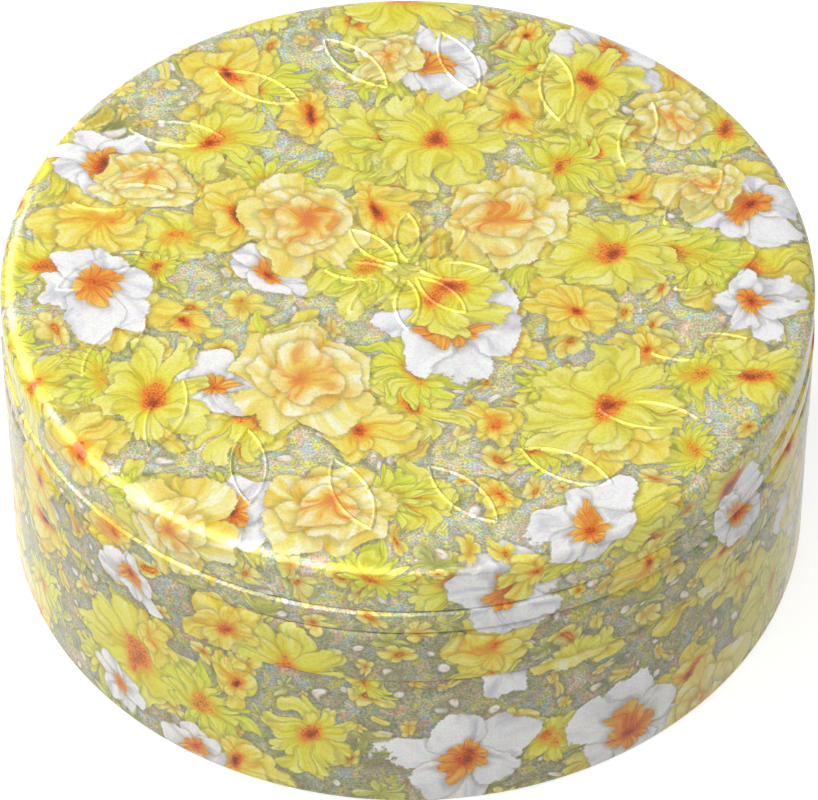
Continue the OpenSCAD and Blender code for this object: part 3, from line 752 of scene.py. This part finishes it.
def embossing_tree():
    t = bpy.data.node_groups.new("embossing", "GeometryNodeTree")
    t.interface.new_socket("Geometry", in_out="INPUT", socket_type="NodeSocketGeometry")
    for name, kind in (("Leaves", "Int"), ("Leaf Length", "Float"), ("Ring Radius", "Float"), ("Slant", "Float"),
                       ("Petals", "Int"), ("Petal Length", "Float"), ("Petal Radius", "Float"),
                       ("Line Width", "Float"), ("Line Height", "Float"), ("Line Root", "Float"),
                       ("Panel Height", "Float"), ("Print", "Material")):
        t.interface.new_socket(name, in_out="INPUT", socket_type="NodeSocket" + kind)
    t.interface.new_socket("Geometry", in_out="OUTPUT", socket_type="NodeSocketGeometry")
    given = {s.name: s for s in t.nodes.new("NodeGroupInput").outputs}
    # The ridge: a raised cosine above, flat below
    px, py = add(t, "ShaderNodeSeparateXYZ", add(t, "GeometryNodeInputPosition")).node.outputs[:2]
    wave = add(t, MATH, add(t, MATH, px, math.pi, operation="MULTIPLY"), operation="COSINE")
    hump = add(t, MATH, add(t, MATH, wave, 0.5, 0.5, operation="MULTIPLY_ADD"), given["Line Height"],
               operation="MULTIPLY")
    above = add(t, MATH, py, 0.0, operation="GREATER_THAN")
    top = add(t, MATH, hump, above, operation="MULTIPLY")
    below = add(t, MATH, add(t, MATH, 1.0, above, operation="SUBTRACT"), given["Line Root"], operation="MULTIPLY")
    height = add(t, MATH, below, top, operation="SUBTRACT")
    across = add(t, MATH, add(t, MATH, px, given["Line Width"], operation="MULTIPLY"), -0.5, operation="MULTIPLY")
    ridge = add(t, "GeometryNodeSetPosition", add(t, "GeometryNodeCurvePrimitiveCircle", 16, 1.0), None,
                add(t, "ShaderNodeCombineXYZ", across, height, 0.0))
    leaves = leaf_ring(t, given["Leaf Length"], given["Leaves"], given["Ring Radius"], given["Slant"], ridge)
    petals_ring = leaf_ring(t, given["Petal Length"], given["Petals"], given["Petal Radius"], 0.0, ridge)
    joined = add(t, "GeometryNodeJoinGeometry", leaves)
    t.links.new(petals_ring, joined.node.inputs[0])
    lifted = add(t, "GeometryNodeTransform", named={
        "Geometry": joined, "Translation": add(t, "ShaderNodeCombineXYZ", 0.0, 0.0, given["Panel Height"])})
    real = add(t, "GeometryNodeRealizeInstances", lifted)
    add(t, "NodeGroupOutput", add(t, "GeometryNodeSetMaterial", real, True, given["Print"]))
    return t


# %% Embossing
LEAVES, LEAF_LENGTH, LEAF_SLANT, LEAF_MARGIN = 18, 8.6, math.radians(32), 4.0
PETALS, PETAL_LENGTH, PETAL_START = 8, 6.0, 1.2
ring_radius = PANEL_R - LEAF_MARGIN - LEAF_LENGTH / 2 * math.cos(LEAF_SLANT)
host = bpy.data.objects.new("embossing_host", bpy.data.meshes.new("embossing_host"))
scene.collection.objects.link(host)
modifier = host.modifiers.new("embossing", "NODES")
modifier.node_group = embossing_tree()
set_inputs(modifier, **{
    "Leaves": LEAVES, "Leaf Length": LEAF_LENGTH * MM, "Ring Radius": ring_radius * MM, "Slant": LEAF_SLANT,
    "Petals": PETALS, "Petal Length": PETAL_LENGTH * MM, "Petal Radius": (PETAL_START + PETAL_LENGTH / 2) * MM,
    "Line Width": LINE_W * MM, "Line Height": LINE_H * MM, "Line Root": LINE_ROOT * MM,
    "Panel Height": CLOSED_H * MM, "Print": lid_print})
emboss_piece = finished(host, "embossing")
emboss_piece.data.materials.pop(index=0)  # the host's empty slot
emboss_piece.data.shade_smooth()

# %% [markdown]
# ## What moves with what
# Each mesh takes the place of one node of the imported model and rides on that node's body. The
# ornament has no node of its own. It is part of the lid's sheet, so it rides on the lid.

# %% Which piece moves with what, and which CAD part it stands for
for piece, body, node, slot in (
    (base_piece, "base", "base_shell", "printed_base"),
    (lid_piece, "lid", "lid_shell", "printed_lid"),
    (inner_piece, "inner_lid", "inner_lid", "inner_metal"),
    (knob_piece, "inner_lid", "inner_lid_knob", "knob_metal"),
    (rivet_piece, "inner_lid", "knob_rivet", "knob_metal"),
):
    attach(piece, body)
    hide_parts(node)
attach(emboss_piece, "lid")

# %% [markdown]
# ## Light, floor and background
# The caddy stands on matt pale card under softboxes. One hangs overhead and to the left, and
# lights the top evenly. One stands behind on the left: it and the first draw the bright bands of
# light along the lid's shoulder and its bead. A narrow strip on the right draws a thin line there,
# and a weak wide box in front lifts the walls. The world fills in very little, so the right side
# stays darker. What the camera and the reflections see of the card and the world is plain white.

# %% World
AMBIENT = 0.03  # what the world gives the surfaces
scene.view_settings.view_transform = "Standard"


def seen_directly(t):
    """1 for rays from the camera and through gloss or glass, 0 for the rays that light the surfaces."""
    rays = {s.name: s for s in add(t, "ShaderNodeLightPath").node.outputs}
    mirrored = add(t, MATH, rays["Is Glossy Ray"], rays["Is Transmission Ray"], operation="MAXIMUM")
    return add(t, MATH, rays["Is Camera Ray"], mirrored, operation="MAXIMUM")


world = bpy.data.worlds.new("white studio")
scene.world = world
world.use_nodes = True
tree = world.node_tree
tree.nodes.clear()
level = add(tree, "ShaderNodeMapRange", seen_directly(tree), 0.0, 1.0, AMBIENT, 1.0)
add(tree, "ShaderNodeOutputWorld", add(tree, "ShaderNodeBackground", rgb("#FFFFFF"), level))
print("world:", AMBIENT, "as light, 1 where it is seen")

# %% Softboxes
SOFTBOXES = {  # degrees round from the front (left is negative), degrees up, roll, metres away, size, watts
    "softbox overhead": (-66, 62, 20, 0.5, 0.7, 0.3, 2.15),
    "softbox behind left": (-130, 36, 48, 0.5, 0.36, 0.2, 0.9),
    "strip light right": (100, 50, -40, 0.5, 0.5, 0.05, 0.12),
    "softbox front": (-30, 12, 0, 0.6, 0.6, 0.3, 0.35),
}
for name, (azimuth, elevation, roll, distance, width, height, watts) in SOFTBOXES.items():
    lamp = bpy.data.lights.new(name, "AREA")
    lamp.shape, lamp.size, lamp.size_y, lamp.energy = "RECTANGLE", width, height, watts
    box = bpy.data.objects.new(name, lamp)
    scene.collection.objects.link(box)
    a, e, r = math.radians(azimuth), math.radians(elevation), math.radians(roll)
    box.location = (distance * math.cos(e) * math.sin(a), -distance * math.cos(e) * math.cos(a),
                    distance * math.sin(e) + CLOSED_H * MM / 2)
    turned_box = Matrix.Rotation(a, 3, "Z") @ Matrix.Rotation(math.pi / 2 - e, 3, "X") @ Matrix.Rotation(r, 3, "Z")
    box.rotation_euler = turned_box.to_euler()
    print(name, "at", [round(c, 3) for c in box.location], "m,", watts, "W")

# %% Floor: matt card scatters the light evenly and mirrors nothing
card = bpy.data.materials.new("matt pale card")
card.use_nodes = True
tree = card.node_tree
tree.nodes.clear()
glow = add(tree, MATH, seen_directly(tree), 0.8, operation="MULTIPLY")
add(tree, "ShaderNodeOutputMaterial", add(tree, "ShaderNodeBsdfPrincipled", named={
    "Base Color": rgb("#BEBEBC"), "Roughness": 0.9, "Emission Color": rgb("#FFFFFF"), "Emission Strength": glow}))
floor_mesh = bpy.data.meshes.new("floor")
FLOOR_Z = -0.02 * MM  # a hair below the foot, so the two faces don't share a plane
CORNERS = ((-3, -3), (3, -3), (3, 3), (-3, 3))  # metres, anticlockwise, so that the card faces up
floor_mesh.from_pydata([(x, y, FLOOR_Z) for x, y in CORNERS], [], [(0, 1, 2, 3)])
floor_mesh.materials.append(card)
floor = bpy.data.objects.new("floor", floor_mesh)
scene.collection.objects.link(floor)
print("floor at", FLOOR_Z, "m")
